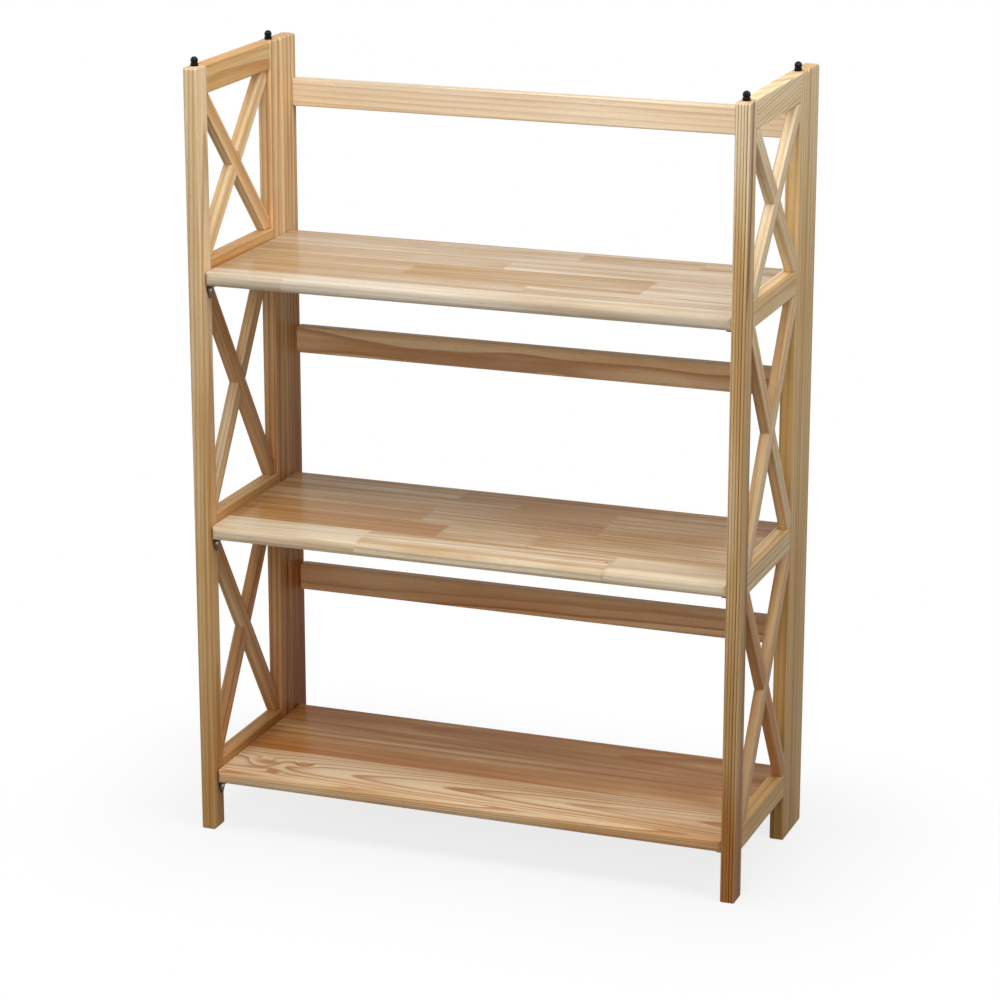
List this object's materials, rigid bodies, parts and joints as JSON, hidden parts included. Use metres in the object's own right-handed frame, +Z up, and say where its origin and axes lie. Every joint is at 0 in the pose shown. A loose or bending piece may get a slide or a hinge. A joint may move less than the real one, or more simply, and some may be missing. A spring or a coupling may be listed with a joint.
{
  "type": "folding bookcase",
  "caption": "Open pine folding bookcase: cross-braced side frames hinged to a slatted back, with lift-up shelves and stacking pins.",
  "frame": {"origin": "on the floor, at the centre of the width and the depth", "axes": "+Z up, +X to the right seen from the front, front towards -Y"},
  "size_m": [0.6984, 0.2922, 0.9767],
  "materials": {
    "pine_pale": "satin lacquer",
    "pine_frame": "satin lacquer",
    "pine_shelf": "satin lacquer",
    "pine_slat": "satin lacquer",
    "black_plastic": "gloss",
    "dark_metal": "satin",
    "bright_metal": "satin"
  },
  "bodies": {
    "back_frame": {"left_back_post": "pine_frame", "left_bottom_pivot_pin": "bright_metal", "left_middle_pivot_pin": "bright_metal", "left_top_pivot_pin": "bright_metal", "left_lower_hinge_post_leaf": "dark_metal", "left_lower_hinge_pin": "bright_metal", "left_upper_hinge_post_leaf": "dark_metal", "left_upper_hinge_pin": "bright_metal", "right_back_post": "pine_frame", "right_bottom_pivot_pin": "bright_metal", "right_middle_pivot_pin": "bright_metal", "right_top_pivot_pin": "bright_metal", "right_lower_hinge_post_leaf": "dark_metal", "right_lower_hinge_pin": "bright_metal", "right_upper_hinge_post_leaf": "dark_metal", "right_upper_hinge_pin": "bright_metal", "bottom_back_slat": "pine_slat", "middle_back_slat": "pine_slat", "top_back_slat": "pine_slat"},
    "left_side_frame": {"left_front_stile": "pine_pale", "left_rear_stile": "pine_frame", "left_bottom_rail": "pine_frame", "left_middle_rail": "pine_frame", "left_top_rail": "pine_frame", "left_crown_rail": "pine_frame", "left_bottom_rising_brace": "pine_frame", "left_bottom_falling_brace": "pine_frame", "left_middle_rising_brace": "pine_frame", "left_middle_falling_brace": "pine_frame", "left_top_rising_brace": "pine_frame", "left_top_falling_brace": "pine_frame", "left_front_stacking_pin": "black_plastic", "left_rear_stacking_pin": "black_plastic", "left_bottom_shelf_bracket": "dark_metal", "left_middle_shelf_bracket": "dark_metal", "left_top_shelf_bracket": "dark_metal", "left_lower_hinge_frame_leaf": "dark_metal", "left_upper_hinge_frame_leaf": "dark_metal"},
    "right_side_frame": {"right_front_stile": "pine_pale", "right_rear_stile": "pine_frame", "right_bottom_rail": "pine_frame", "right_middle_rail": "pine_frame", "right_top_rail": "pine_frame", "right_crown_rail": "pine_frame", "right_bottom_rising_brace": "pine_frame", "right_bottom_falling_brace": "pine_frame", "right_middle_rising_brace": "pine_frame", "right_middle_falling_brace": "pine_frame", "right_top_rising_brace": "pine_frame", "right_top_falling_brace": "pine_frame", "right_front_stacking_pin": "black_plastic", "right_rear_stacking_pin": "black_plastic", "right_bottom_shelf_bracket": "dark_metal", "right_middle_shelf_bracket": "dark_metal", "right_top_shelf_bracket": "dark_metal", "right_lower_hinge_frame_leaf": "dark_metal", "right_upper_hinge_frame_leaf": "dark_metal"},
    "shelf_bottom": {"bottom_shelf": "pine_shelf"},
    "shelf_middle": {"middle_shelf": "pine_shelf"},
    "shelf_top": {"top_shelf": "pine_shelf"}
  },
  "joints": [
    {"name": "bottom_shelf_lift", "type": "hinge", "parent": "back_frame", "child": "shelf_bottom", "pos_m": [0, 0.11995, 0.0685], "axis": [-1, 0, 0], "range_deg": [0, 90]},
    {"name": "middle_shelf_lift", "type": "hinge", "parent": "back_frame", "child": "shelf_middle", "pos_m": [0, 0.11995, 0.3885], "axis": [-1, 0, 0], "range_deg": [0, 90]},
    {"name": "top_shelf_lift", "type": "hinge", "parent": "back_frame", "child": "shelf_top", "pos_m": [0, 0.11995, 0.7085], "axis": [-1, 0, 0], "range_deg": [0, 90]},
    {"name": "left_side_fold", "type": "hinge", "parent": "back_frame", "child": "left_side_frame", "pos_m": [-0.32905, 0.09725, 0.4826], "axis": [0, 0, 1], "range_deg": [0, 0.2]},
    {"name": "right_side_fold", "type": "hinge", "parent": "back_frame", "child": "right_side_frame", "pos_m": [0.32905, 0.09725, 0.4826], "axis": [0, 0, -1], "range_deg": [0, 0.2]}
  ]
}
